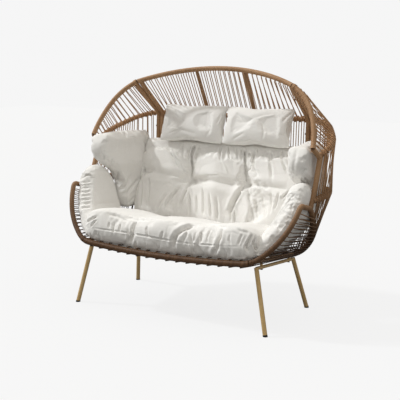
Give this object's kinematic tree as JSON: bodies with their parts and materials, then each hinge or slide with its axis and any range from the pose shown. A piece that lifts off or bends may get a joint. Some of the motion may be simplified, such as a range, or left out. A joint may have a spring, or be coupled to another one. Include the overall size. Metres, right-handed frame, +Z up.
{
  "type": "double egg chair",
  "caption": "Two-seat egg chair: a wound-wicker basket with high wings and hood on splayed metal legs, with loose seat, arm, back and head cushions.",
  "frame": {"origin": "on the floor, under the middle of the chair's width and depth", "axes": "+X along the seat to the sitter's left (the right of the front view), +Y to the back, +Z up"},
  "size_m": [1.5682, 0.8508, 1.3995],
  "materials": {
    "wicker_wrap": "flat wicker wound tightly round steel tube, tan brown",
    "wicker_strand": "round wicker strand, tan brown",
    "frame_tube": "brown powder coat",
    "leg_metal": "satin pale gold",
    "foot_rubber": "black",
    "bolt_steel": "brown painted steel",
    "cushion_fabric": "off-white woven polyester, linen look"
  },
  "bodies": {
    "frame": {"arm_rail_left": "wicker_wrap", "arm_rail_right": "wicker_wrap", "arm_strands_left": "wicker_strand", "arm_strands_right": "wicker_strand", "back_rail": "wicker_wrap", "back_ribs": "frame_tube", "back_strands": "wicker_strand", "back_wing_strands_left": "wicker_strand", "back_wing_strands_right": "wicker_strand", "foot_caps": "foot_rubber", "front_leg_left": "leg_metal", "front_leg_right": "leg_metal", "front_post_left": "wicker_wrap", "front_post_right": "wicker_wrap", "front_rail": "wicker_wrap", "hood_arc": "wicker_wrap", "hood_ribs": "frame_tube", "hood_strands": "wicker_strand", "hood_wing_strands_left": "wicker_strand", "hood_wing_strands_right": "wicker_strand", "joint_bands": "wicker_wrap", "leg_bolts": "bolt_steel", "leg_rib_left": "frame_tube", "leg_rib_right": "frame_tube", "leg_spacers": "leg_metal", "lower_back_strands": "wicker_strand", "lower_ribs": "frame_tube", "lower_side_strands_left": "wicker_strand", "lower_side_strands_right": "wicker_strand", "panel_rib_left": "wicker_wrap", "panel_rib_right": "wicker_wrap", "rear_leg_left": "leg_metal", "rear_leg_right": "leg_metal", "rear_rail": "wicker_wrap", "rear_rib_left": "wicker_wrap", "rear_rib_right": "wicker_wrap", "ring_rail_back": "wicker_wrap", "ring_rail_left": "wicker_wrap", "ring_rail_right": "wicker_wrap", "seam_bolts": "bolt_steel", "seat_ribs": "frame_tube", "seat_strands": "wicker_strand", "side_rail_left": "wicker_wrap", "side_rail_right": "wicker_wrap", "side_stretcher_left": "leg_metal", "side_stretcher_right": "leg_metal", "wing_arc_left": "wicker_wrap", "wing_arc_right": "wicker_wrap", "wing_links": "wicker_wrap", "wing_rib_left": "wicker_wrap", "wing_rib_right": "wicker_wrap"},
    "cushions": {"arm_cushion_left": "cushion_fabric", "arm_cushion_right": "cushion_fabric", "back_cushion": "cushion_fabric", "seat_cushion": "cushion_fabric", "wing_cushion_left": "cushion_fabric", "wing_cushion_right": "cushion_fabric"},
    "left_pillow": {"head_pillow_left": "cushion_fabric"},
    "right_pillow": {"head_pillow_right": "cushion_fabric"}
  },
  "joints": [
    {"name": "cushions_lift_out", "type": "slide", "parent": "frame", "child": "cushions", "axis": [0, -0.99, 0.141], "range_m": [0, 0.8]},
    {"name": "left_pillow_lift_off", "type": "slide", "parent": "cushions", "child": "left_pillow", "axis": [0, -0.9397, 0.3419], "range_m": [0, 0.6]},
    {"name": "right_pillow_lift_off", "type": "slide", "parent": "cushions", "child": "right_pillow", "axis": [0, -0.9397, 0.3419], "range_m": [0, 0.6]}
  ]
}
